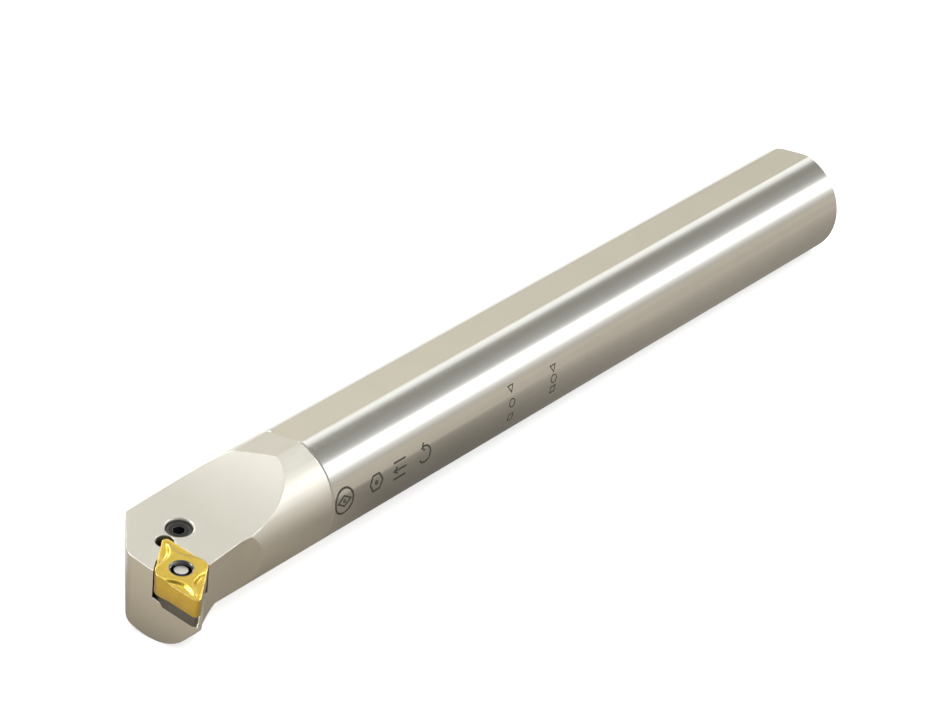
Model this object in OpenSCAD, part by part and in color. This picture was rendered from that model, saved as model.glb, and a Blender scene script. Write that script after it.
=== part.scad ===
// Boring bar with an indexable 55 degree insert held by a lever lock.
// The shank axis is the X axis, the rear end face is at X = 0 and the head points to +X.
// The cutting tip lies on the +Y side at centre height, and +Z is up.

/* [Shank] */
// Rear end face to the cutting tip
overall_len = 300; // [260:1:380]
// Diameter of the shank
shank_d = 32; // [31:0.5:34]
// Height over the two flats
flat_height = 30; // [29:0.25:31]
// Length of the flats from the rear end face
flat_len = 256; // [250:1:262]
// Radius that the cutter leaves where a flat ends
flat_run_out_r = 25; // [15:1:40]
// Chamfer round the rear end
end_chamfer = 0.6; // [0.3:0.1:2.5]

/* [Head] */
// Cutting tip to the ring where the ground shank begins
head_len = 60.4; // [55:0.1:70]
// Depth of the ring groove
ring_depth = 0.4; // [0.2:0.05:0.6]
// Width of the ring groove
ring_w = 0.9; // [0.5:0.1:1.5]
// Cutting tip to the shank axis, across
tip_offset = 22; // [21:0.25:23]
// Smallest bore that the head can enter
min_bore_d = 40; // [39:0.5:42]
// Gap between the nose and the smallest bore
bore_gap = 1.2; // [1:0.1:2]
// Length of the full nose radius behind the tip
nose_len = 13; // [8:0.5:14]
// Radius of the hollow that runs the nose out into the head
nose_run_out_r = 10; // [6:0.5:14]
// Depth of that hollow
nose_run_out_depth = 4.8; // [4:0.1:6]
// Slope of the flat that clears the bore under the tip
heel_angle = 42; // [38:1:48]

/* [Head faces] */
// Fall of the insert seat towards the front
front_fall = 6; // [4:0.5:8]
// Fall of the insert seat towards the tip side
side_fall = 12; // [9:0.5:14]
// Top face of the head below the cutting edge
top_drop = 0.2; // [0.1:0.05:0.5]
// Cutting tip to the start of the hollow that rises to the shank
top_scoop_start = 27.6; // [26:0.2:32]
// Radius of that hollow
top_scoop_r = 50; // [40:1:60]
// Front face behind the cutting tip
front_setback = 0.35; // [0.2:0.05:1]
// Swing of the front face from square
front_swing = 5.2; // [3:0.1:7]
// Extra lean of the front face
front_relief = 2.8; // [0:0.1:4]
// Cutting tip to the plane of the slanted corner face
corner_dist = 17.1; // [15.5:0.1:18]
// Angle of the slanted corner face to the shank
corner_angle = 42; // [38:0.5:46]
// Radius between the front face and the slanted corner face
corner_r = 5.5; // [3:0.5:7]
// Side face below the cutting tip
side_drop = 7.35; // [6.8:0.05:8]
// Cutting tip to the end of the straight stretch of the side face
side_len = 24.9; // [22:0.1:28]
// Cutter radius at the rear of the side face
side_scoop_r = 10.4; // [8:0.2:14]
// Radius where the side face turns out to the tip
flare_r = 6; // [3:0.5:8]
// Flared side behind the side cutting edge
flare_inset = 0.45; // [0.3:0.05:0.8]

/* [Insert] */
// Circle that touches the four sides of the insert
insert_ic = 12.7; // [12:0.1:13.4]
// Angle of the cutting corner
insert_angle = 55; // [52:1:60]
// Approach angle of the front cutting edge
approach_angle = 93; // [91:0.5:95]
// Thickness over the raised lands
insert_thick = 6.35; // [5.5:0.05:7]
// Nose radius of the cutting corners
nose_r = 0.8; // [0.4:0.1:1.2]
// Radius of the blunt corners
blunt_r = 1.6; // [1:0.1:2]
// Hole through the insert
insert_hole_d = 5.16; // [5:0.02:5.6]
// Radius of the rounded mouth of that hole
insert_mouth_r = 0.62; // [0.3:0.02:0.8]
// Cutting corners below the raised lands
edge_drop = 0.4; // [0.2:0.05:0.5]
// Radius of the chip grooves
groove_r = 3.6; // [2.5:0.1:5]
// Length over which a chip groove rises to the land
groove_len = 12; // [8:0.5:13]
// Chip groove centre line behind the cutting edge
groove_inset = 1.3; // [0.8:0.05:1.6]

/* [Seat] */
// Thickness of the shim
shim_thick = 3.18; // [2.5:0.02:4]
// Shim sides behind the insert sides
shim_inset = 0.5; // [0.3:0.05:0.8]
// Radius of the shim's acute corners
shim_nose_r = 1; // [0.6:0.1:1.4]
// Chamfer on the shim's blunt corners
shim_chamfer = 1.2; // [0.5:0.1:1.6]
// Clearance between the insert and the pocket walls
seat_gap = 0.03; // [0.01:0.01:0.08]
// Relief of the pocket wall near the front
wall_relief = 0.35; // [0.2:0.05:0.5]
// Relief start before the insert's blunt corner
wall_relief_len = 6; // [4:0.5:7]
// Relief hole at the inner corner of the pocket
relief_hole_d = 4.8; // [4:0.1:5]
// Insert centre to the relief hole, along the long diagonal
relief_dist = 11.6; // [11.2:0.1:11.9]
// Relief hole off the long diagonal, away from the screw
relief_off = 0.4; // [0.3:0.05:0.6]
// Relief hole below the pocket floor
relief_sink = 0.5; // [0.3:0.1:1]
// Outside of the spring pin that holds the shim
pin_d = 7; // [6.8:0.05:7.2]
// Wall of the spring pin
pin_wall = 0.65; // [0.5:0.05:0.8]
// Length of the spring pin
pin_len = 4.5; // [4:0.1:4.8]
// Slit along the spring pin
pin_slit = 0.8; // [0.4:0.1:1.2]
// Clearance round the spring pin
pin_gap = 0.03; // [0.01:0.01:0.06]

/* [Lever lock] */
// Insert centre to the screw axis
screw_dist = 16.5; // [16.4:0.1:17.2]
// Swing of the screw from the insert's long diagonal
screw_swing = 17.2; // [16.5:0.1:20]
// Diameter over the screw thread
screw_d = 7; // [6.8:0.05:7.6]
// Clearance round the screw
screw_gap = 0.075; // [0.05:0.005:0.1]
// Length of the screw
screw_len = 19; // [18.5:0.1:19.5]
// Screw end below the top face of the head
screw_sink = 0.9; // [0.4:0.05:1.2]
// Chamfer on the screw ends
screw_chamfer = 0.3; // [0.2:0.02:0.6]
// Chamfer at the mouth of the screw bore
bore_chamfer = 0.35; // [0.1:0.05:0.4]
// Screw bore below the screw
bore_spare = 0.5; // [0.3:0.1:0.8]
// Hexagon socket across its flats
socket_af = 3; // [2.5:0.5:3.5]
// Depth of the hexagon socket
socket_depth = 3.5; // [2.5:0.1:5]
// Waist of the screw where the lever's foot sits
waist_d = 4.6; // [4:0.1:5]
// Height of the lever's arm and foot
foot_h = 3; // [2.6:0.1:3.2]
// Clearance above and below the foot in the waist
foot_gap = 0.2; // [0.15:0.01:0.3]
// Clearance between the foot and the waist
foot_tip_gap = 0.4; // [0.3:0.05:0.6]
// Width of the lever's arm
arm_w = 3.8; // [3.2:0.1:4.2]
// Clearance round the arm in its slot
arm_gap = 0.4; // [0.3:0.05:0.6]
// Round elbow of the lever
elbow_d = 5.2; // [5:0.05:5.3]
// Bore below the spring pin that holds the elbow
elbow_bore_d = 6.52; // [6.5:0.02:6.6]
// Clearance below the elbow
elbow_gap = 0.06; // [0.04:0.01:0.1]
// Elbow centre below the spring pin
elbow_drop = 1.75; // [1.7:0.05:2]
// Largest diameter of the barrel inside the insert hole
barrel_d = 4; // [3.8:0.05:4.2]
// Length of the barrel
barrel_len = 3.2; // [2.6:0.1:3.6]
// Radius of the barrel's crown
barrel_crown_r = 6.5; // [5:0.5:9]
// Neck of the lever
neck_d = 3.4; // [3:0.1:3.5]
// Lever's top below the insert's raised land
lever_sink = 1; // [0.6:0.1:1.4]
// Clearance between the barrel and the insert hole when clamped
barrel_gap = 0.03; // [0.02:0.01:0.06]

/* [Hidden] */
$fn = 96;
// Overlap that keeps cutters clear of the faces they cut
eps = 0.01;
// Size of a cutter that reaches past the whole head
far = 80;

shank_r = shank_d / 2;
ring_x = overall_len - head_len;
nose_y = tip_offset - min_bore_d / 2;
nose_outer_r = min_bore_d / 2 - bore_gap;

// Heights below the cutting edge, along the insert's normal
land_z = edge_drop;
seat_z = land_z - insert_thick;
floor_z = seat_z - shim_thick;

// Insert centre seen from the cutting tip, and the direction of its long diagonal
half_angle = insert_angle / 2;
diag_angle = 180 - approach_angle - half_angle;
nose_to_centre = (insert_ic / 2 - nose_r) / sin(half_angle);
insert_x = -nose_r - nose_to_centre * cos(diag_angle);
insert_y = -nose_r - nose_to_centre * sin(diag_angle);
side_edge_angle = diag_angle - half_angle;

// Depth of a chip groove at the acute corner, which leaves the edge at its drop
groove_depth = edge_drop + groove_r - sqrt(pow(groove_r, 2) - pow(groove_inset, 2));

// Spring pin and the bores below it
pin_top_z = seat_z - 0.3;
pin_bottom_z = pin_top_z - pin_len;
pin_bore_r = pin_d / 2 + pin_gap;
elbow_z = pin_bottom_z - elbow_drop;
elbow_r = elbow_d / 2;
elbow_bore_r = elbow_bore_d / 2;

// Lever, in the plane through the insert hole and the screw, leaning while it clamps
screw_angle = 180 - screw_swing;
lever_top_z = land_z - lever_sink;
barrel_r = barrel_d / 2;
barrel_z = lever_top_z - barrel_len / 2;
barrel_h = barrel_z - elbow_z;
lever_shift = insert_hole_d / 2 - barrel_r - barrel_gap;
lever_lean = asin(lever_shift / barrel_h);
foot_end = screw_dist - waist_d / 2 - foot_tip_gap;
foot_x = foot_end - foot_h / 2;
foot_z = elbow_z - foot_x * sin(lever_lean);

// Screw
screw_r = screw_d / 2;
screw_top_z = -top_drop - screw_sink;
screw_bottom_z = screw_top_z - screw_len;
waist_top_z = foot_z + foot_h / 2 + foot_gap;
waist_bottom_z = foot_z - foot_h / 2 - foot_gap;
bore_r = screw_r + screw_gap;

// Moves children into the frame of the cutting tip, with +Z along the insert's normal
module at_tip() {
    translate([overall_len, tip_offset, 0])
        rotate([-side_fall, front_fall, 0])
            children();
}

// Moves children to the insert centre, with +X along the long diagonal to the tip
module at_insert() {
    at_tip()
        translate([insert_x, insert_y, 0])
            rotate([0, 0, diag_angle])
                children();
}

// Moves children to the insert centre, with +X towards the screw
module at_lever() {
    at_insert()
        rotate([0, 0, screw_angle])
            children();
}

// Moves children to the lever's elbow, with +Z along its leaning neck
module at_elbow() {
    at_lever()
        translate([0, 0, elbow_z])
            rotate([0, lever_lean, 0])
                children();
}

// Moves children to the screw axis at the height of the cutting tip
module at_screw() {
    at_lever()
        translate([screw_dist, 0, 0])
            children();
}

// Turns a profile of radius against length round the X axis
module turned() {
    rotate([0, 90, 0])
        rotate_extrude()
            children();
}

// Points along an arc from one angle to another
function arc(centre, r, from, to, steps = 10) = [
    for (i = [0:steps])
        let (a = from + (to - from) * i / steps)
            centre + r * [cos(a), sin(a)]
];

// Rhombus with rounded corners, long diagonal along X, inside radius r_in
module rhombus(r_in, r_sharp, r_blunt) {
    sharp = (r_in - r_sharp) / sin(half_angle);
    blunt = (r_in - r_blunt) / cos(half_angle);
    face = 90 - half_angle;
    polygon(concat(
        arc([sharp, 0], r_sharp, -face, face),
        arc([0, blunt], r_blunt, face, 180 - face),
        arc([-sharp, 0], r_sharp, 180 - face, 180 + face),
        arc([0, -blunt], r_blunt, 180 + face, 360 - face)
    ));
}

// Shank and head as turned, before any face is milled
module turned_blank() {
    turned()
        difference() {
            polygon([
                [0, 0],
                [shank_r - end_chamfer, 0],
                [shank_r, end_chamfer],
                [shank_r, overall_len],
                [0, overall_len]
            ]);
            translate([shank_r, ring_x])
                polygon([
                    [0, -ring_w / 2],
                    [-ring_depth, 0],
                    [0, ring_w / 2],
                    [ring_depth, 0]
                ]);
        }
}

// Nose turned about the centre of the smallest bore, with a hollow run-out behind
module nose() {
    run_out = sqrt(pow(nose_run_out_r, 2) - pow(nose_run_out_r - nose_run_out_depth, 2));
    back = overall_len - nose_len - run_out;
    translate([back, nose_y, 0])
        turned()
            difference() {
                square([nose_outer_r, nose_len + run_out]);
                translate([nose_outer_r - nose_run_out_depth + nose_run_out_r, 0])
                    circle(nose_run_out_r);
            }
}

// Flat heel that carries the metal under the tip beyond the nose radius
module heel() {
    touch = [sin(heel_angle), -cos(heel_angle)] * nose_outer_r;
    reach = [cos(heel_angle), sin(heel_angle)] * nose_outer_r;
    translate([overall_len - nose_len, nose_y, 0])
        rotate([90, 0, 90])
            linear_extrude(nose_len)
                polygon([[0, 0], touch, touch + reach, [nose_outer_r, nose_outer_r]]);
}

// One flat along the shank, with the cutter's round end
module flat_cut() {
    translate([-eps, -shank_r, flat_height / 2])
        cube([flat_len - flat_run_out_r + eps, shank_d, shank_r]);
    translate([flat_len - flat_run_out_r, 0, flat_height / 2])
        cylinder(r = flat_run_out_r, h = shank_r);
}

// Everything above the head's top face and the hollow that rises from it
module top_cut() {
    translate([-top_scoop_start, -far, -top_drop])
        cube([far, 2 * far, far]);
    translate([-top_scoop_start, far, top_scoop_r - top_drop])
        rotate([90, 0, 0])
            cylinder(r = top_scoop_r, h = 2 * far, $fn = 180);
}

// Everything in front of the front face and outside the slanted corner face
module front_cut() {
    // Where the front face line and the corner face line cross, seen from the tip
    front_dir = [sin(front_swing), cos(front_swing)];
    corner_dir = [cos(corner_angle), sin(corner_angle)];
    slope = tan(front_swing);
    cross_y = (corner_dist + front_setback * corner_dir[1]) / (corner_dir[1] * slope - corner_dir[0]);
    cross = [slope * cross_y - front_setback, cross_y];
    // Centre of the rounded corner
    leg = corner_r * tan((90 - front_swing - corner_angle) / 2);
    centre = cross + leg * front_dir - corner_r * [front_dir[1], -front_dir[0]];
    rotate([0, front_relief, 0])
        translate([0, 0, -far / 2])
            linear_extrude(far)
                difference() {
                    translate([-far / 2, -0.8 * far])
                        square([far, 1.5 * far]);
                    polygon(concat(
                        [cross - far * corner_dir],
                        arc(centre, corner_r, corner_angle - 90, -front_swing),
                        [cross + far * front_dir, [-far, far], [-far, -far]]
                    ));
                }
}

// Side face: a straight wall, a cutter radius at its rear and a flare out to the tip
module side_cut() {
    flare_turn = side_edge_angle;
    flare = [cos(flare_turn), sin(flare_turn)];
    leg = flare_r * tan(flare_turn / 2);
    edge_c = nose_r * (1 + flare[1] - flare[0]) - flare_inset;
    knee = [(side_drop * flare[0] + edge_c) / -flare[1], -side_drop];
    // Centre of the radius between the wall and the flare
    flare_centre = knee + [-leg, flare_r];
    translate([0, 0, -far / 2])
        linear_extrude(far) {
            polygon([
                [-side_len, -side_drop],
                knee,
                knee + far * flare,
                [-side_len, far]
            ]);
            translate([-side_len, side_scoop_r - side_drop])
                circle(side_scoop_r);
        }
}

// Pocket for the insert and the shim, with its relieved corner and front wall
module pocket() {
    r_in = insert_ic / 2 + seat_gap;
    side = insert_ic / sin(insert_angle);
    along = [cos(half_angle), -sin(half_angle)];
    out = [-sin(half_angle), -cos(half_angle)];
    apex = [-r_in / sin(half_angle), 0];
    step = apex + (side - wall_relief_len) * along;
    translate([0, 0, floor_z])
        linear_extrude(far)
            polygon([
                apex,
                step,
                step + wall_relief * (along + out),
                step + wall_relief * out + far * along,
                apex + far * [cos(half_angle), sin(half_angle)]
            ]);
    translate([-relief_dist, -relief_off, floor_z - relief_sink])
        cylinder(d = relief_hole_d, h = far);
}

// Bores and slot for the spring pin, the lever and the screw
module lock_cavity() {
    elbow_depth = elbow_r + elbow_gap;
    slot_bottom_z = foot_z - foot_h / 2 - arm_gap;
    slot_w = arm_w + 2 * arm_gap;
    translate([0, 0, pin_bottom_z])
        cylinder(r = pin_bore_r, h = shim_thick);
    translate([0, 0, elbow_z - elbow_depth])
        cylinder(r = elbow_bore_r, h = elbow_depth + elbow_drop + eps);
    translate([0, -slot_w / 2, slot_bottom_z])
        cube([screw_dist, slot_w, floor_z - slot_bottom_z + eps]);
}

// Blind bore for the screw, with a small chamfer at its mouth
module screw_bore() {
    bottom_z = screw_bottom_z - bore_spare;
    rotate_extrude()
        polygon([
            [0, bottom_z],
            [bore_r, bottom_z],
            [bore_r, -top_drop - bore_chamfer],
            [bore_r + bore_chamfer, -top_drop],
            [bore_r + bore_chamfer, 1],
            [0, 1]
        ]);
}

// Chip grooves of one face, two at each acute corner, with the land at height zero
module chip_grooves() {
    corner = insert_ic / 2 / sin(half_angle);
    tilt = atan(groove_depth / groove_len);
    for (turn = [0, 180], side = [-1, 1])
        rotate([0, 0, turn])
            translate([corner, 0, 0])
                rotate([0, 0, 180 + side * half_angle])
                    translate([0, -side * groove_inset, groove_r - groove_depth])
                        rotate([0, 90 - tilt, 0])
                            translate([0, 0, -groove_len / 2])
                                cylinder(r = groove_r, h = 2 * groove_len);
}

// Rounded mouth of the insert hole, cut from a face at height zero
module hole_mouth() {
    rim = insert_hole_d / 2 + insert_mouth_r;
    rotate_extrude()
        difference() {
            translate([0, -insert_mouth_r])
                square([rim, insert_mouth_r + eps]);
            translate([rim, -insert_mouth_r])
                circle(insert_mouth_r);
        }
}

module bar_body() {
    color([0.76, 0.74, 0.68])
        difference() {
            union() {
                turned_blank();
                nose();
                heel();
            }
            flat_cut();
            mirror([0, 0, 1])
                flat_cut();
            at_tip() {
                top_cut();
                front_cut();
                side_cut();
            }
            at_insert()
                pocket();
            at_lever()
                lock_cavity();
            at_screw()
                screw_bore();
        }
}

module insert() {
    color([0.85, 0.70, 0.30])
        at_insert()
            difference() {
                translate([0, 0, seat_z])
                    linear_extrude(insert_thick)
                        rhombus(insert_ic / 2, nose_r, blunt_r);
                translate([0, 0, seat_z - eps])
                    cylinder(d = insert_hole_d, h = insert_thick + 2 * eps);
                translate([0, 0, land_z]) {
                    hole_mouth();
                    chip_grooves();
                }
                translate([0, 0, seat_z])
                    mirror([0, 0, 1]) {
                        hole_mouth();
                        chip_grooves();
                    }
            }
}

module shim() {
    r_in = insert_ic / 2 - shim_inset;
    width = 2 * (r_in / cos(half_angle) - shim_chamfer);
    color([0.33, 0.33, 0.31])
        at_insert()
            translate([0, 0, floor_z])
                linear_extrude(shim_thick)
                    difference() {
                        intersection() {
                            rhombus(r_in, shim_nose_r, 0.1);
                            square([far, width], center = true);
                        }
                        circle(r = pin_bore_r);
                    }
}

// Spring pin, slit on the side away from the lever's arm
module shim_pin() {
    color([0.62, 0.62, 0.60])
        at_lever()
            translate([0, 0, pin_bottom_z])
                linear_extrude(pin_len)
                    difference() {
                        circle(d = pin_d);
                        circle(d = pin_d - 2 * pin_wall);
                        translate([-pin_d, -pin_slit / 2])
                            square([pin_d, pin_slit]);
                    }
}

// Lever: crowned barrel, neck, round elbow, arm and round foot
module lever() {
    color([0.78, 0.77, 0.74])
        at_elbow() {
            rotate_extrude() {
                square([neck_d / 2, barrel_h]);
                translate([0, barrel_h])
                    intersection() {
                        translate([barrel_r - barrel_crown_r, 0])
                            circle(barrel_crown_r);
                        translate([0, -barrel_len / 2])
                            square([barrel_r, barrel_len]);
                    }
            }
            translate([0, -arm_w / 2, -foot_h / 2])
                cube([foot_x, arm_w, foot_h]);
            translate([0, arm_w / 2, 0])
                rotate([90, 0, 0]) {
                    cylinder(r = elbow_r, h = arm_w);
                    translate([foot_x, 0, 0])
                        cylinder(d = foot_h, h = arm_w);
                }
        }
}

// Screw with a hexagon socket, and a waist that lifts and lowers the lever's foot
module lever_screw() {
    color([0.13, 0.13, 0.13])
        at_screw()
            difference() {
                rotate_extrude()
                    polygon([
                        [0, screw_bottom_z],
                        [screw_r - screw_chamfer, screw_bottom_z],
                        [screw_r, screw_bottom_z + screw_chamfer],
                        [screw_r, waist_bottom_z],
                        [waist_d / 2, waist_bottom_z],
                        [waist_d / 2, waist_top_z],
                        [screw_r, waist_top_z],
                        [screw_r, screw_top_z - screw_chamfer],
                        [screw_r - screw_chamfer, screw_top_z],
                        [0, screw_top_z]
                    ]);
                translate([0, 0, screw_top_z - socket_depth])
                    cylinder(d = socket_af / cos(30), h = socket_depth + eps, $fn = 6);
            }
}

bar_body();
insert();
shim();
shim_pin();
lever();
lever_screw();
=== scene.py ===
import bpy
import math
from mathutils import Matrix, Vector


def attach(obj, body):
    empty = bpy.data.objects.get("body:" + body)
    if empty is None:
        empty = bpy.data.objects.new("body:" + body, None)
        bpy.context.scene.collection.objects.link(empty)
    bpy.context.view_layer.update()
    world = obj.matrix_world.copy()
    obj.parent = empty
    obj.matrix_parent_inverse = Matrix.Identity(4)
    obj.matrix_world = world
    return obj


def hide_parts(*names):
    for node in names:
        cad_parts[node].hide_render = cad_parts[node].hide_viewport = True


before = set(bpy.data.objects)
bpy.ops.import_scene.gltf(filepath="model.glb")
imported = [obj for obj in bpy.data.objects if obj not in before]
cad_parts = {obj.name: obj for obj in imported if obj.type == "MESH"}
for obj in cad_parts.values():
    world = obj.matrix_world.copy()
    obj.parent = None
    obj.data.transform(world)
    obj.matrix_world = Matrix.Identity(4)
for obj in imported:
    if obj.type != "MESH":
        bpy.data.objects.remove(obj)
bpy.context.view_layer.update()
scene = bpy.context.scene

# Lengths are in metres, apart from those of the insert and of the marks, in millimetres
MM = 0.001
WHITE = (1, 1, 1, 1)

# Camera, fitted to the straight edges and circles in the photo
AZIMUTH = math.radians(37.37)
ELEVATION = math.radians(24.88)
ROLL = math.radians(-0.69)
TARGET = Vector((0.1500, -0.00642, 0.00224))
DISTANCE = 1.11855
SENSOR_WIDTH = 36
LENS = 154.27
NEAREST = 0.05
FARTHEST = 20


def make_camera():
    back = Vector((
        math.cos(ELEVATION) * math.cos(AZIMUTH),
        math.cos(ELEVATION) * math.sin(AZIMUTH),
        math.sin(ELEVATION),
    ))
    right = Vector((0, 0, 1)).cross(back).normalized()
    up = back.cross(right)
    picture_x = math.cos(ROLL) * right + math.sin(ROLL) * up
    picture_y = -math.sin(ROLL) * right + math.cos(ROLL) * up
    turn = Matrix((picture_x, picture_y, back)).transposed().to_4x4()
    camera = bpy.data.objects.new("camera", bpy.data.cameras.new("camera"))
    scene.collection.objects.link(camera)
    camera.matrix_world = Matrix.Translation(TARGET + DISTANCE * back) @ turn
    camera.data.sensor_width = SENSOR_WIDTH
    camera.data.lens = LENS
    camera.data.clip_start = NEAREST
    camera.data.clip_end = FARTHEST
    scene.camera = camera


class Nodes:
    """Short ways to add shader nodes to one tree."""

    def __init__(self, tree):
        self.tree = tree
        tree.nodes.clear()

    def add(self, kind, inputs=None, **settings):
        node = self.tree.nodes.new(kind)
        for key, value in settings.items():
            setattr(node, key, value)
        for key, value in (inputs or {}).items():
            self.put(node.inputs[key], value)
        return node

    def put(self, socket, value):
        if isinstance(value, bpy.types.NodeSocket):
            self.tree.links.new(value, socket)
        elif isinstance(value, bpy.types.Node):
            self.tree.links.new(value.outputs[0], socket)
        else:
            socket.default_value = value

    def math(self, operation, *values):
        node = self.add("ShaderNodeMath", operation=operation)
        for socket, value in zip(node.inputs, values):
            self.put(socket, value)
        return node.outputs[0]

    def times(self, first, *others):
        """Product of all the values."""
        product = first
        for other in others:
            product = self.math("MULTIPLY", product, other)
        return product

    def invert(self, mask):
        return self.math("SUBTRACT", 1.0, mask)

    def vary(self, base, value, amount):
        """A base number, raised by a share of the value."""
        return self.math("ADD", base, self.times(value, amount))

    def step(self, value, low, high, out_low=0.0, out_high=1.0, smooth=True):
        """The out values below low and above high, and a ramp between them."""
        node = self.add("ShaderNodeMapRange", clamp=True)
        node.interpolation_type = "SMOOTHSTEP" if smooth else "LINEAR"
        for index, item in enumerate((value, low, high, out_low, out_high)):
            self.put(node.inputs[index], item)
        return node.outputs[0]

    def mix(self, factor, first, second):
        """Colour or vector between the two."""
        node = self.add("ShaderNodeMix", {0: factor, 6: first, 7: second}, data_type="RGBA")
        return node.outputs[2]

    def blend(self, factor, first, second):
        """Number between the two."""
        node = self.add("ShaderNodeMix", {0: factor, 2: first, 3: second}, data_type="FLOAT")
        return node.outputs[0]

    def vector(self, x, y, z):
        return self.add("ShaderNodeCombineXYZ", {0: x, 1: y, 2: z}).outputs[0]

    def vector_math(self, operation, first, second):
        return self.add("ShaderNodeVectorMath", {0: first, 1: second}, operation=operation).outputs[0]

    def scale(self, vector, factor):
        node = self.add("ShaderNodeVectorMath", {0: vector, "Scale": factor}, operation="SCALE")
        return node.outputs[0]

    def dot(self, first, second):
        node = self.add("ShaderNodeVectorMath", {0: first, 1: second}, operation="DOT_PRODUCT")
        return node.outputs["Value"]

    def length(self, vector):
        node = self.add("ShaderNodeVectorMath", {0: vector}, operation="LENGTH")
        return node.outputs["Value"]

    def noise(self, vector, scale, rough):
        return self.add("ShaderNodeTexNoise", {
            "Vector": vector, "Scale": scale, "Detail": 3.0, "Roughness": rough}).outputs[0]

    def bevel(self, radius, samples=6):
        return self.add("ShaderNodeBevel", {"Radius": radius}, samples=samples).outputs[0]

    def bump(self, depth, height, normal=None):
        inputs = {"Strength": 1.0, "Distance": depth, "Height": height}
        if normal is not None:
            inputs["Normal"] = normal
        return self.add("ShaderNodeBump", inputs).outputs[0]

    def edges(self, soft_edge, low, high, normal="True Normal"):
        """1 where the bevelled normal turns away from the face, as it does at an edge."""
        face = self.add("ShaderNodeNewGeometry").outputs[normal]
        return self.step(self.dot(soft_edge, face), low, high, 1.0, 0.0)

    def coords(self):
        return self.add("ShaderNodeTexCoord").outputs["Object"]

    def split(self, vector):
        return tuple(self.add("ShaderNodeSeparateXYZ", {0: vector}).outputs)


def material(name):
    mat = bpy.data.materials.new(name)
    mat.use_nodes = True
    return mat, Nodes(mat.node_tree)


def finish_material(n, **inputs):
    shader = n.add("ShaderNodeBsdfPrincipled")
    for key, value in inputs.items():
        n.put(shader.inputs[key.replace("_", " ")], value)
    n.add("ShaderNodeOutputMaterial", {0: shader})


def grey(level, warm):
    return (level, level * (1 - 0.03 * warm), level * (1 - 0.12 * warm), 1)


def mesh_object(name, verts, faces, *materials):
    mesh = bpy.data.meshes.new(name)
    mesh.from_pydata(verts, [], faces)
    for mat in materials:
        mesh.materials.append(mat)
    mesh.update()
    piece = bpy.data.objects.new(name, mesh)
    scene.collection.objects.link(piece)
    return piece


# Place of the insert: its tip in metres, and its angles in degrees
TIP_X = 0.300
TIP_Y = 0.022
FALL_TO_FRONT = 6
FALL_TO_SIDE = 12
APPROACH = 93

# Sizes of the insert, in a frame with X along the long diagonal towards the tip
HALF = math.radians(27.5)
INNER_R = 6.35
SOLID_NOSE_R = 0.8
NOSE_R = 1.2
BLUNT_R = 2.8
THICK = 6.35
HOLE_R = 2.58
MOUTH_R = 0.62
HONE = 0.13

# Chip groove of the insert: the raised middle ends at the crest, in from the edge
LAND = 0.4
CREST_LEAST = 0.30
CREST_RISE = 2.60
CREST_FALL = 0.85
WALL = 1.2
GROOVE = 0.12
DIMPLE_AT = 10.55
DIMPLE_R = 0.30
DIMPLE = 0.12
CENTRE_STRIP = 1.5
CENTRE_SOFTNESS = 0.04

# Rows and columns of the insert's mesh
NOSE_STEPS = 18
BLUNT_STEPS = 14
EDGE_STEPS = 44
HONE_ROWS = 3
RAKE_ROWS = 40
MOUTH_ROWS = 8
ROW_CROWDING = 1.35

# The screw's axis, as a distance from the insert's centre and an angle off its diagonal
SCREW_AWAY = 16.5
SCREW_SWING = 17.2


def insert_frame():
    """Matrix from the insert's own frame, in millimetres, to the row frame in metres."""
    tip = Matrix.Translation((TIP_X, TIP_Y, 0))
    to_front = Matrix.Rotation(math.radians(FALL_TO_FRONT), 4, "Y")
    to_side = Matrix.Rotation(math.radians(-FALL_TO_SIDE), 4, "X")
    diagonal = math.radians(180 - APPROACH) - HALF
    # The solid's nose circle touches the tip's two tangents, and sets the insert's centre
    reach = (INNER_R - SOLID_NOSE_R) / math.sin(HALF)
    centre = Vector((
        -SOLID_NOSE_R - reach * math.cos(diagonal),
        -SOLID_NOSE_R - reach * math.sin(diagonal),
        0,
    )) * MM
    place = tip @ (to_front @ to_side) @ Matrix.Translation(centre)
    return place @ Matrix.Rotation(diagonal, 4, "Z") @ Matrix.Scale(MM, 4)


# Steel of the bar
RING_X = 0.2396
SHANK_R = 0.016
FLAT_Z = 0.015
ROUND_SLACK = 0.00005
BELOW_FLAT = 0.00002
AT_FLAT = 0.00003
HEAD_EDGE = 0.00035
RECESS_REACH = 0.005
UPPER_FACE_SHADE = 0.81


def shank_areas(n, x, y, z):
    """Masks of the whole shank, its polished round part and its flats."""
    height = n.math("ABSOLUTE", z)
    radius = n.math("SQRT", n.math("ADD", n.times(y, y), n.times(z, z)))
    shank = n.math("LESS_THAN", x, RING_X)
    outermost = n.math("GREATER_THAN", radius, SHANK_R - ROUND_SLACK)
    beside_flats = n.math("LESS_THAN", height, FLAT_Z - BELOW_FLAT)
    polished = n.times(shank, n.times(outermost, beside_flats))
    flat = n.times(shank, n.math("GREATER_THAN", height, FLAT_Z - AT_FLAT))
    return shank, polished, flat


def cylinder_normal(n, y, z):
    """Exact normal of the ground cylinder, so that its reflections run straight."""
    world = n.add("ShaderNodeVectorTransform", {0: n.vector(0.0, y, z)}, vector_type="NORMAL",
                  convert_from="OBJECT", convert_to="WORLD")
    return n.add("ShaderNodeVectorMath", {0: world}, operation="NORMALIZE").outputs[0]


def grinding(n, flat, x, y, angle):
    """Grinding lines, round the shank and along its flats."""
    round_lines = n.vector(n.times(x, 9000.0), n.times(angle, 3.0), 0.0)
    flat_lines = n.vector(n.times(x, 90.0), n.times(y, 7000.0), 3.0)
    return n.noise(n.mix(flat, round_lines, flat_lines), 1.0, 0.6)


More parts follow.
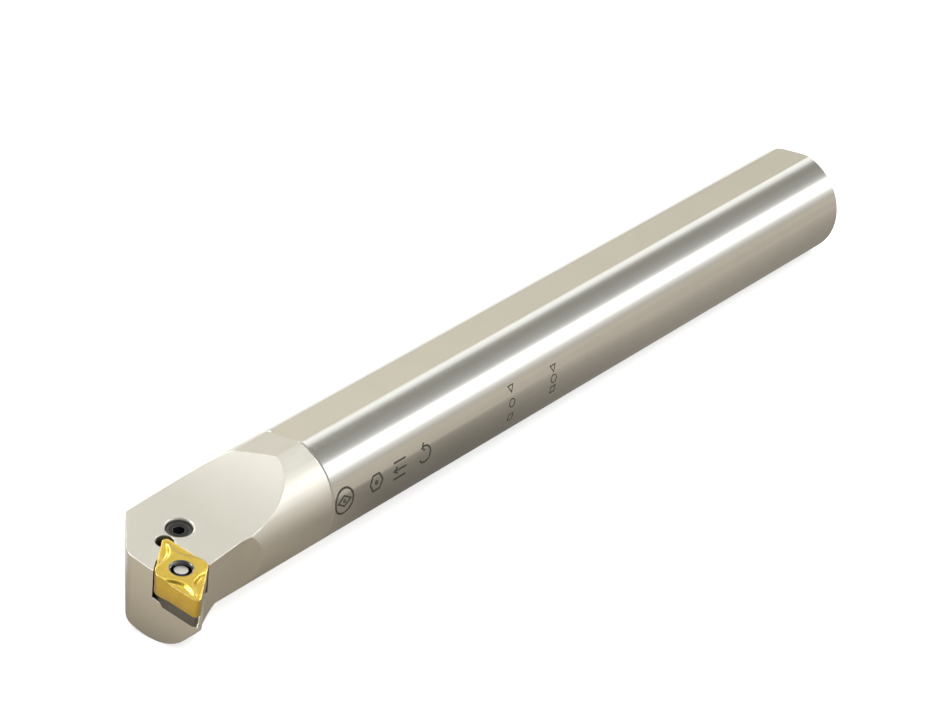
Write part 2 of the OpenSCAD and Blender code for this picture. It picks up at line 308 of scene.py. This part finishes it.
def steel_shade(n, place, x, angle, polished, flat):
    """Faint clouds, painted light that makes the flats lighter towards the head, and streaks along the
    round part.
    """
    cloud = n.step(n.noise(place, 95.0, 0.55), 0.3, 0.7, 0.985, 1.01)
    painted_light_along_flat = n.blend(flat, 1.0, n.step(x, 0.0, 0.25, 0.955, 1.04))
    streak = n.noise(n.vector(n.times(x, 16.0), n.times(angle, 26.0), 0.0), 1.0, 0.5)
    on_round = n.blend(polished, 1.0, n.step(streak, 0.3, 0.7, 0.98, 1.01))
    return n.times(cloud, painted_light_along_flat, on_round)


def bar_steel():
    mat, n = material("bar_steel")
    place = n.coords()
    x, y, z = n.split(place)
    angle = n.math("ARCTAN2", y, z)
    shank, polished, flat = shank_areas(n, x, y, z)
    head = n.invert(shank)

    soft_edge = n.bevel(HEAD_EDGE)
    grind = grinding(n, flat, x, y, angle)
    satin = n.noise(place, 5200.0, 0.65)
    grain = n.blend(shank, satin, grind)
    grain_depth = n.blend(polished, n.blend(flat, 0.0000035, 0.0000003), 0.0000001)
    bump = n.bump(grain_depth, grain, n.mix(polished, soft_edge, cylinder_normal(n, y, z)))

    # The head's broken edges are smoother than its faces from wear, and their lighter colour is a
    # painted highlight
    wear_and_edge_highlight = n.times(n.edges(soft_edge, 0.94, 0.995), head)
    head_colour = n.mix(wear_and_edge_highlight, grey(0.83, 1.0), grey(0.95, 0.6))
    shank_colour = n.mix(flat, grey(0.80, 0.6), grey(0.80, 0.95))
    colour = n.mix(shank, head_colour, shank_colour)
    tone = n.scale(colour, steel_shade(n, place, x, angle, polished, flat))

    # The studio's lamps would make the head's upper faces too bright, so their colour is lower
    face_normal = n.add("ShaderNodeNewGeometry").outputs["True Normal"]
    upper_face = n.times(n.step(n.split(face_normal)[2], 0.60, 0.92), head, n.invert(wear_and_edge_highlight))
    # Painted shade darkens deep recesses
    open_sky = n.add("ShaderNodeAmbientOcclusion", {"Distance": RECESS_REACH}, samples=8).outputs["AO"]
    recess_shade = n.step(open_sky, 0.12, 0.48, 0.35, 1.0)
    tone = n.scale(tone, n.times(n.blend(upper_face, 1.0, UPPER_FACE_SHADE), recess_shade))

    rough_head = n.blend(wear_and_edge_highlight, n.vary(0.44, satin, 0.06), 0.26)
    rough_flat = n.vary(0.26, grind, 0.02)
    rough_round = n.vary(0.07, grind, 0.03)
    rough = n.blend(polished, n.blend(flat, rough_head, rough_flat), rough_round)
    finish_material(n, Base_Color=tone, Metallic=1.0, Roughness=rough, Normal=bump)
    return mat


# Other finishes
SMALL_EDGE = 0.00020
RUBBED_FROM = 0.0024
RUBBED_TO = 0.0028


def coating():
    mat, n = material("insert_coating")
    place = n.coords()
    fine = n.noise(place, 6500.0, 0.7)
    cloud = n.step(n.noise(place, 260.0, 0.55), 0.3, 0.7)
    soft_edge = n.bevel(SMALL_EDGE)
    gold = n.mix(cloud, (0.74, 0.505, 0.040, 1), (0.81, 0.57, 0.058, 1))
    # Painted highlight: the honed edges are a pale gold
    colour = n.mix(n.edges(soft_edge, 0.93, 0.995), gold, (0.97, 0.84, 0.46, 1))
    finish_material(n, Base_Color=colour, Metallic=1.0, Roughness=n.vary(0.23, fine, 0.06),
                    Normal=n.bump(0.0000035, fine, soft_edge),
                    Coat_Weight=0.75, Coat_Roughness=0.13, Coat_IOR=1.65)
    return mat


def hole_carbide_and_shade():
    mat, n = material("insert_hole")
    fine = n.noise(n.coords(), 4200.0, 0.6)
    # Grey of uncoated carbide, made darker with painted shade in the hole and its mouth
    finish_material(n, Base_Color=n.mix(fine, grey(0.17, 0.3), grey(0.23, 0.3)), Metallic=1.0,
                    Roughness=n.vary(0.14, fine, 0.05), Normal=n.bump(0.000002, fine))
    return mat


def plain_metal(name, low, high, warm, rough, grain, depth):
    """Metal between two levels of grey, with a fine grain of a given scale and depth."""
    mat, n = material(name)
    place = n.coords()
    fine = n.noise(place, grain, 0.6)
    cloud = n.step(n.noise(place, 300.0, 0.55), 0.3, 0.7)
    finish_material(n, Base_Color=n.mix(cloud, grey(low, warm), grey(high, warm)), Metallic=1.0,
                    Roughness=n.vary(rough, fine, 0.1),
                    Normal=n.bump(depth, fine, n.bevel(SMALL_EDGE)))
    return mat


def screw_radius(n, place):
    """Distance from the screw's axis."""
    to_row = insert_frame()
    swing = Matrix.Rotation(math.radians(180 - SCREW_SWING), 3, "Z")
    foot = to_row @ (swing @ Vector((SCREW_AWAY, 0, 0)))
    axis = (to_row.to_3x3() @ Vector((0, 0, 1))).normalized()
    away = n.vector_math("SUBTRACT", place, foot)
    return n.length(n.vector_math("CROSS_PRODUCT", away, axis))


def black_oxide():
    """Black finish, darker round the socket and rubbed on the rim; its edges are lighter grey, from
    wear and a painted highlight.
    """
    mat, n = material("screw_black")
    place = n.coords()
    fine = n.noise(place, 3800.0, 0.6)
    soft_edge = n.bevel(SMALL_EDGE, samples=8)
    wear_and_edge_highlight = n.edges(soft_edge, 0.90, 0.999, normal="Normal")
    rim = n.step(screw_radius(n, place), RUBBED_FROM, RUBBED_TO)
    dark = n.mix(fine, (0.016, 0.016, 0.016, 1), (0.035, 0.035, 0.034, 1))
    rubbed = n.mix(fine, (0.060, 0.060, 0.058, 1), (0.095, 0.094, 0.090, 1))
    colour = n.mix(wear_and_edge_highlight, n.mix(rim, dark, rubbed), (0.20, 0.20, 0.19, 1))
    finish_material(n, Base_Color=colour, Metallic=0.6, Roughness=n.vary(0.30, fine, 0.12),
                    Normal=n.bump(0.000004, fine, soft_edge))
    return mat


def etched():
    mat, n = material("etched_steel")
    fine = n.noise(n.coords(), 5000.0, 0.6)
    colour = n.mix(fine, (0.045, 0.040, 0.032, 1), (0.085, 0.078, 0.064, 1))
    finish_material(n, Base_Color=colour, Metallic=0.3, Roughness=0.62)
    return mat


def assign(node, mat):
    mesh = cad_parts[node].data
    mesh.materials.clear()
    mesh.materials.append(mat)


def finish_solids():
    """Give the CAD nodes their materials."""
    assign("bar_body", bar_steel())
    assign("shim", plain_metal("shim_carbide", low=0.17, high=0.21, warm=0.5, rough=0.36,
                               grain=4200.0, depth=0.000003))
    assign("shim_pin", plain_metal("pin_steel", low=0.40, high=0.50, warm=0.3, rough=0.30,
                                   grain=3000.0, depth=0.000002))
    assign("lever", plain_metal("lever_steel", low=0.66, high=0.74, warm=0.4, rough=0.36,
                                grain=3600.0, depth=0.000004))
    assign("lever_screw", black_oxide())


def break_edges(node, width, least_angle):
    """Small rounds on a CAD node's outer edges, over its own faces."""
    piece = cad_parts[node]
    weld = piece.modifiers.new("weld", "WELD")
    weld.merge_threshold = 1e-6
    planar = piece.modifiers.new("planar", "DECIMATE")
    planar.decimate_type = "DISSOLVE"
    planar.angle_limit = math.radians(0.5)
    edge = piece.modifiers.new("edge_break", "BEVEL")
    edge.limit_method = "ANGLE"
    edge.angle_limit = math.radians(least_angle)
    edge.width = width
    edge.segments = 3
    edge.harden_normals = False
    shading = piece.modifiers.new("shading", "WEIGHTED_NORMAL")
    shading.weight = 80
    shading.keep_sharp = False
    for polygon in piece.data.polygons:
        polygon.use_smooth = True


def outline_points():
    """Points and outward directions round the rhombus, from the tip side onwards."""
    sharp = (INNER_R - NOSE_R) / math.sin(HALF)
    blunt = (INNER_R - BLUNT_R) / math.cos(HALF)
    face = math.pi / 2 - HALF
    corners = (
        (Vector((sharp, 0)), NOSE_R, -face, face, NOSE_STEPS),
        (Vector((0, blunt)), BLUNT_R, face, math.pi - face, BLUNT_STEPS),
        (Vector((-sharp, 0)), NOSE_R, math.pi - face, math.pi + face, NOSE_STEPS),
        (Vector((0, -blunt)), BLUNT_R, math.pi + face, 2 * math.pi - face, BLUNT_STEPS),
    )
    found = []
    for index, (centre, radius, start, end, steps) in enumerate(corners):
        for step in range(steps + 1):
            angle = start + (end - start) * step / steps
            outward = Vector((math.cos(angle), math.sin(angle)))
            found.append((centre + radius * outward, outward))
        last, outward = found[-1]
        next_centre, next_radius = corners[(index + 1) % len(corners)][:2]
        first = next_centre + next_radius * outward
        for step in range(1, EDGE_STEPS):
            found.append((last.lerp(first, step / EDGE_STEPS), outward))
    return found


def smooth(value, low, high):
    t = min(1.0, max(0.0, (value - low) / (high - low)))
    return t * t * (3 - 2 * t)


def edge_place(u, v):
    """Distance in from the outline, and place along the edge, towards the nose."""
    u, v = abs(u), abs(v)
    along = u * math.cos(HALF) - v * math.sin(HALF)
    if along > (INNER_R - NOSE_R) / math.tan(HALF):
        inward = NOSE_R - math.hypot(u - (INNER_R - NOSE_R) / math.sin(HALF), v)
    elif along < -(INNER_R - BLUNT_R) * math.tan(HALF):
        inward = BLUNT_R - math.hypot(u, v - (INNER_R - BLUNT_R) / math.cos(HALF))
    else:
        inward = INNER_R - (u * math.sin(HALF) + v * math.cos(HALF))
    return max(0.0, inward), along


def face_height(u, v):
    """Height of the rake face in the insert's frame: LAND on its raised middle."""
    soft_v = math.sqrt(v * v + CENTRE_SOFTNESS)
    inward, along = edge_place(u, v if abs(v) > CENTRE_STRIP else soft_v)
    widening = CREST_RISE * smooth(along, -2.6, 5.2)
    crest = CREST_LEAST + widening - CREST_FALL * smooth(along, 4.6, 10.2)
    foot = max(0.0, crest - WALL)
    edge_drop = LAND * smooth(along, -1.9, 2.2)
    groove = GROOVE * smooth(along, 0.3, 3.5)
    if inward < foot:
        drop = edge_drop + groove * math.sin(math.pi / 2 * min(1.0, inward / (0.6 * foot)))
    elif inward < crest:
        t = (inward - foot) / (crest - foot)
        drop = (edge_drop + groove) * (1 - 0.5 * t - 0.5 * smooth(t, 0, 1))
    else:
        drop = 0.0
    from_dimple = math.hypot(abs(u) - DIMPLE_AT, v)
    drop += DIMPLE * math.exp(-(from_dimple / DIMPLE_R) ** 2)
    return LAND - drop


def hone_rows(outline):
    """Rows of points round the honed edge, from the side face up onto the rake face."""
    rows = []
    for part in range(HONE_ROWS):
        angle = math.pi / 2 * part / HONE_ROWS
        row = []
        for edge, outward in outline:
            point = edge - HONE * (1 - math.cos(angle)) * outward
            top = face_height(edge.x - HONE * outward.x, edge.y - HONE * outward.y)
            row.append((point.x, point.y, top - HONE * (1 - math.sin(angle))))
        rows.append(row)
    return rows


def rake_rows(outline):
    """Rows of points over the rake face, from the honed edge in to the hole's mouth."""
    rows = []
    for part in range(RAKE_ROWS + 1):
        share = (part / RAKE_ROWS) ** ROW_CROWDING
        row = []
        for edge, outward in outline:
            start = edge - HONE * outward
            goal = start.normalized() * (HOLE_R + MOUTH_R)
            point = start.lerp(goal, share)
            row.append((point.x, point.y, face_height(point.x, point.y)))
        rows.append(row)
    return rows


def mouth_rows(outline):
    """Rows of points round the hole's rounded mouth, down onto its wall."""
    rows = []
    for part in range(1, MOUTH_ROWS + 1):
        angle = math.pi / 2 * part / MOUTH_ROWS
        radius = HOLE_R + MOUTH_R - MOUTH_R * math.sin(angle)
        height = LAND - MOUTH_R * (1 - math.cos(angle))
        row = []
        for edge, outward in outline:
            point = (edge - HONE * outward).normalized() * radius
            row.append((point.x, point.y, height))
        rows.append(row)
    return rows


def make_insert():
    outline = outline_points()
    count = len(outline)
    hone = hone_rows(outline)
    rake = rake_rows(outline)
    upper = hone + rake + mouth_rows(outline)
    middle = LAND - THICK / 2
    lower = [[(x, y, 2 * middle - z) for x, y, z in row] for row in reversed(upper)]
    rows = upper + lower
    place = insert_frame()
    verts = [place @ Vector(point) for row in rows for point in row]
    faces = []
    material_slots = []
    hole_from = len(hone) + len(rake) - 1
    for index in range(len(rows)):
        this_row = index * count
        next_row = (index + 1) % len(rows) * count
        in_hole = hole_from <= index < len(rows) - hole_from - 1
        for here in range(count):
            beside = (here + 1) % count
            faces.append((this_row + here, this_row + beside, next_row + beside, next_row + here))
            material_slots.append(1 if in_hole else 0)
    piece = mesh_object("insert_fine", verts, faces, coating(), hole_carbide_and_shade())
    piece.data.polygons.foreach_set("material_index", material_slots)
    piece.data.polygons.foreach_set("use_smooth", [True] * len(faces))
    piece.data.update()
    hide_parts("insert")
    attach(piece, "bar")


# Etched pictograms: places along the shank, and in degrees from its top towards the tip side
ETCH_R = 16.008
MARK_LINE = 92
RING_MARK_X = 235.2
KEY_MARK_X = 222.0
FEED_MARK_X = 212.0
TURN_MARK_X = 201.5
DEPTH_MARKS = ((163.0, 16), (144.0, 12))

# Widths of their strokes
HEAVY = 0.62
BOLD = 0.55
MEDIUM = 0.5
LIGHT = 0.4
THIN = 0.32


def stroke_side(before, point, after, width):
    """From a point of a path to the edge of its stroke, mitred where the path bends."""
    coming = point - before
    going = after - point
    coming = coming.normalized() if coming.length > 0 else going.normalized()
    going = going.normalized() if going.length > 0 else coming
    middle = (coming + going).normalized()
    return Vector((-middle.y, middle.x)) * (width / 2 / max(0.4, middle.dot(coming)))


def strokes_mesh(name, lines):
    """Flat strokes laid on the shank: each line is its points, its width and whether it closes."""
    verts = []
    faces = []
    for points, width, closed in lines:
        path = [Vector(point) for point in points]
        total = len(path)
        base = len(verts)
        for index, point in enumerate(path):
            before = path[index - 1] if (closed or index > 0) else point
            after = path[(index + 1) % total] if (closed or index < total - 1) else point
            side = stroke_side(before, point, after, width)
            for corner in (point + side, point - side):
                angle = corner.y / ETCH_R
                verts.append((corner.x * MM, ETCH_R * math.sin(angle) * MM,
                              ETCH_R * math.cos(angle) * MM))
        for index in range(total if closed else total - 1):
            here = base + 2 * index
            there = base + 2 * ((index + 1) % total)
            faces.append((here, here + 1, there + 1, there))
    piece = mesh_object(name, verts, faces, etched())
    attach(piece, "bar")


def polygon_points(cx, cy, radius, sides, turn=0.0):
    angles = [turn + 2 * math.pi * side / sides for side in range(sides)]
    return [(cx + radius * math.cos(angle), cy + radius * math.sin(angle)) for angle in angles]


def divided(points, closed, parts=6):
    """The same path with points added, so that it bends with the shank."""
    found = []
    total = len(points)
    for index in range(total if closed else total - 1):
        start = Vector(points[index])
        end = Vector(points[(index + 1) % total])
        for part in range(parts):
            found.append(tuple(start.lerp(end, part / parts)))
    if not closed:
        found.append(points[-1])
    return found


def rhombus_in_ring(cx, cy):
    """Which insert shape fits."""
    long_half = 2.6
    short_half = 1.5
    ring_r = 3.6
    dot_r = 0.4
    rhombus = [(cx + long_half, cy), (cx, cy + short_half), (cx - long_half, cy), (cx, cy - short_half)]
    return [
        (polygon_points(cx, cy, ring_r, 40), HEAVY, True),
        (divided(rhombus, True), MEDIUM, True),
        (polygon_points(cx, cy, dot_r, 16), LIGHT, True),
    ]


def hexagon_with_dot(cx, cy):
    """The key for the screw."""
    hexagon_r = 2.6
    dot_r = 0.45
    return [
        (divided(polygon_points(cx, cy, hexagon_r, 6), True), BOLD, True),
        (polygon_points(cx, cy, dot_r, 16), MEDIUM, True),
    ]


def feed_into_bore(cx, cy):
    """Two walls of a bore, and an arrow along the shank between them."""
    half_length = 2.6
    bore_r = 2.4
    barb = 1.5
    spread = barb * 0.62
    end_x = cx + half_length
    walls = [[(cx - bore_r, cy + away), (end_x, cy + away)] for away in (bore_r, -bore_r)]
    shaft = [(cx - half_length, cy), (end_x - MEDIUM * 0.6, cy)]
    head = [(end_x - barb, cy + spread), (end_x, cy), (end_x - barb, cy - spread)]
    strokes = [(divided(wall, False), BOLD, False) for wall in walls]
    return strokes + [(divided(path, False), MEDIUM, False) for path in (shaft, head)]


def turning_workpiece(cx, cy):
    """Open ring with an arrow head."""
    ring_r = 2.4
    angles = [math.radians(degrees) for degrees in range(30, 301, 9)]
    ring = [(cx + ring_r * math.cos(angle), cy + ring_r * math.sin(angle)) for angle in angles]
    end_x, end_y = ring[-1]
    head = [(end_x - 1.3, end_y + 0.9), (end_x, end_y), (end_x - 1.0, end_y - 1.3)]
    return [(ring, BOLD, False), (head, MEDIUM, False)]


def mark_place(x, degrees):
    return x, math.radians(degrees) * ETCH_R


def small_marks(x, apart):
    """Triangle, circle and square, one below the other."""
    triangle_r = 1.3
    circle_r = 1.2
    square_r = 1.4
    triangle = polygon_points(*mark_place(x, MARK_LINE - apart), triangle_r, 3, math.pi / 2)
    circle = polygon_points(*mark_place(x, MARK_LINE), circle_r, 24)
    square = polygon_points(*mark_place(x, MARK_LINE + apart), square_r, 4, math.pi / 4)
    return [
        (divided(triangle, True, 3), THIN, True),
        (circle, THIN, True),
        (divided(square, True, 3), THIN, True),
    ]


def pictograms():
    lines = rhombus_in_ring(*mark_place(RING_MARK_X, MARK_LINE))
    lines += hexagon_with_dot(*mark_place(KEY_MARK_X, MARK_LINE))
    lines += feed_into_bore(*mark_place(FEED_MARK_X, MARK_LINE))
    lines += turning_workpiece(*mark_place(TURN_MARK_X, MARK_LINE))
    for x, apart in DEPTH_MARKS:
        lines += small_marks(x, apart)
    return lines


# Floor: a plane through the shank's rear lower edge and the underside of the head
FLOOR_MIDDLE_X = 0.15
FLOOR_HALF = 6.0
FLOOR_REAR_Z = -0.01502
HEAD_UNDER = 0.0188
HEAD_REST_X = 0.291
FLOOR_GLOW = 0.62

# Levels of the painted table reflection and its painted shadows
BEHIND_BAR = 0.98
BEFORE_HEAD = 0.67
SHADOW_BESIDE_BAR = 0.30
FURTHER_OUT = 0.53
FAR_OUT = 0.58
FRONT_OF_SHANK_SHADOW_SHARE = 0.56
SHADOW_UNDER_HEAD_SHARE = 0.90
GROOVE_SHADOW_SHARE = 0.66


def painted_table_reflection(n):
    """Painted reflection of the table, seen only in the metal: white behind the bar, warm grey on the
    tip side, with painted shadow near the bar and under the head.
    """
    x, y, z = n.split(n.coords())
    # Painted shadow: darkest beside the bar, and lighter further out
    outer = n.step(y, 0.045, 0.16, FURTHER_OUT, FAR_OUT)
    near = n.blend(n.step(y, 0.012, 0.045, smooth=False), SHADOW_BESIDE_BAR, outer)
    # The white begins further behind under the head
    shift = n.math("ADD", n.step(x, 0.20, 0.24, 0.0, 0.02), n.step(x, 0.286, 0.300, 0.0, 0.035))
    behind = n.step(n.math("ADD", y, shift), -0.030, -0.008, 1.0, 0.0)
    # Painted shadow: beside the bar it darkens towards the front of the shank
    along = n.step(x, 0.05, 0.19, 1.0, FRONT_OF_SHANK_SHADOW_SHARE)
    along = n.blend(n.step(x, 0.205, 0.245), along, 1.0)
    along = n.blend(n.step(y, 0.043, 0.058), along, 1.0)
    # Painted shadow: a darker patch at the ring groove, and a little darker under the head
    groove_shadow_patch = n.times(n.step(x, 0.220, 0.230), n.step(x, 0.238, 0.252, 1.0, 0.0), n.step(y, 0.020, 0.030))
    shadow_under_head = n.step(x, 0.236, 0.256, 1.0, SHADOW_UNDER_HEAD_SHARE)
    near = n.times(near, n.blend(groove_shadow_patch, shadow_under_head, GROOVE_SHADOW_SHARE))
    level = n.blend(n.step(x, 0.290, 0.320), n.times(near, along), BEFORE_HEAD)
    level = n.blend(behind, level, BEHIND_BAR)
    colour = n.mix(n.step(x, 0.19, 0.25), (1, 0.925, 0.80, 1), (1, 0.885, 0.72, 1))
    colour = n.mix(behind, colour, (1, 1, 0.99, 1))
    return n.add("ShaderNodeEmission", {"Color": colour, "Strength": level})


def floor_white():
    mat, n = material("floor_white")
    path = n.add("ShaderNodeLightPath").outputs
    diffuse = n.add("ShaderNodeBsdfDiffuse", {"Color": (0.80, 0.80, 0.80, 1)})
    glow = n.add("ShaderNodeEmission", {
        "Color": WHITE, "Strength": n.times(path["Is Camera Ray"], FLOOR_GLOW)})
    seen_white = n.add("ShaderNodeAddShader", {0: diffuse, 1: glow})
    look = n.add("ShaderNodeMixShader", {
        0: path["Is Glossy Ray"], 1: seen_white, 2: painted_table_reflection(n)})
    n.add("ShaderNodeOutputMaterial", {0: look})
    return mat


def make_floor():
    slope = (HEAD_UNDER - FLAT_Z) / HEAD_REST_X
    verts = []
    for x, y in ((-1, -1), (1, -1), (1, 1), (-1, 1)):
        from_rear = x * FLOOR_HALF + FLOOR_MIDDLE_X
        verts.append((from_rear, y * FLOOR_HALF, FLOOR_REAR_Z - slope * from_rear))
    floor = mesh_object("floor", verts, [(0, 1, 2, 3)], floor_white())


# Studio seen in the metal: angle from straight up towards the tip side, and the light there
STUDIO = (
    (-180, (0.37, 0.34, 0.30)), (-150, (0.60, 0.58, 0.54)), (-130, (1.0, 1.0, 0.99)),
    (-102, (1.0, 1.0, 0.99)), (-85, (0.74, 0.71, 0.64)), (-60, (0.65, 0.615, 0.53)),
    (-35, (0.76, 0.73, 0.64)), (-16, (0.90, 0.90, 0.86)), (-7, (1.20, 1.22, 1.20)),
    (0, (0.95, 0.96, 0.95)), (5, (0.50, 0.50, 0.48)), (11, (0.345, 0.335, 0.305)),
    (20, (0.335, 0.33, 0.30)), (28, (0.38, 0.375, 0.355)), (36, (0.44, 0.44, 0.43)),
    (43, (0.60, 0.60, 0.60)), (48, (0.95, 0.95, 0.95)), (53, (2.2, 2.2, 2.2)),
    (67, (2.2, 2.2, 2.2)), (73, (1.2, 1.2, 1.19)), (79, (0.80, 0.79, 0.77)),
    (86, (0.58, 0.565, 0.53)), (93, (0.50, 0.475, 0.44)), (101, (0.50, 0.465, 0.42)),
    (112, (0.58, 0.545, 0.49)), (133, (0.44, 0.41, 0.36)), (178, (0.37, 0.34, 0.30)),
)
FRONT_LIGHT = 0.32

# Lamps seen only in the metal: direction, inner and outer half angle, strength
LAMPS = (
    ((0.10, -0.47, 0.875), 4.0, 8.0, 9.0),
    ((-0.56, 0.19, 0.805), 3.0, 6.5, 9.0),
    ((-0.38, -0.70, 0.60), 4.0, 8.5, 8.0),
    ((-0.97, 0.19, 0.16), 7.0, 12.0, 7.0),
    ((-0.31, -0.94, 0.135), 7.0, 12.0, 7.0),
    ((-0.15, -0.20, 0.968), 6.0, 11.0, 0.6),
    ((0.38, -0.58, 0.72), 10.0, 21.0, 2.6),
)

# Light on everything else, and the key lamp, whose power is in watts
PLAIN_LIGHT = (0.70, 0.70, 0.70, 1)
KEY_PLACE = Vector((0.35, 0.75, 0.60))
KEY_TARGET = Vector((0.15, 0, 0))
KEY_SIZE = 0.9
KEY_POWER = 5.0


def studio_strips(n, direction):
    """Strips of light along the bar, dimmer towards the front."""
    x, y, z = n.split(direction)
    turn = n.math("DIVIDE", n.math("ARCTAN2", y, z), 2 * math.pi)
    ramp = n.add("ShaderNodeValToRGB", {0: n.math("ADD", turn, 0.5)})
    elements = ramp.color_ramp.elements
    # A new ramp starts with two elements
    for index, (degrees, colour) in enumerate(STUDIO):
        position = (degrees + 180) / 360
        element = elements[index] if index < 2 else elements.new(position)
        element.position = position
        element.color = (*colour, 1)
    return n.scale(ramp.outputs[0], n.step(x, -0.30, 0.35, 1.0, FRONT_LIGHT))


def studio_lamps(n, direction, seen):
    """The light seen in a direction, with the lamps added to it."""
    for toward, inner, outer, strength in LAMPS:
        aim = n.dot(direction, Vector(toward).normalized())
        lamp = n.step(aim, math.cos(math.radians(outer)), math.cos(math.radians(inner)), 0.0, strength)
        seen = n.vector_math("ADD", seen, lamp)
    return seen


def make_studio():
    world = bpy.data.worlds.new("studio")
    scene.world = world
    world.use_nodes = True
    n = Nodes(world.node_tree)
    direction = n.add("ShaderNodeTexCoord").outputs["Generated"]
    in_metal = studio_lamps(n, direction, studio_strips(n, direction))
    path = n.add("ShaderNodeLightPath").outputs
    plain = n.mix(path["Is Camera Ray"], PLAIN_LIGHT, WHITE)
    shown = n.mix(path["Is Glossy Ray"], plain, in_metal)
    background = n.add("ShaderNodeBackground", {"Color": shown, "Strength": 1.0})
    n.add("ShaderNodeOutputWorld", {0: background})


def make_key_lamp():
    data = bpy.data.lights.new("key", "AREA")
    data.shape = "SQUARE"
    data.size = KEY_SIZE
    data.energy = KEY_POWER
    lamp = bpy.data.objects.new("key", data)
    scene.collection.objects.link(lamp)
    aim = (KEY_TARGET - KEY_PLACE).to_track_quat("-Z", "Y").to_matrix().to_4x4()
    lamp.matrix_world = Matrix.Translation(KEY_PLACE) @ aim
    lamp.visible_glossy = False
    lamp.visible_camera = False


make_camera()
finish_solids()
break_edges("bar_body", width=0.00030, least_angle=22)
make_insert()
strokes_mesh("etched_marks", pictograms())
make_floor()
make_studio()
make_key_lamp()

scene.view_settings.view_transform = "Standard"
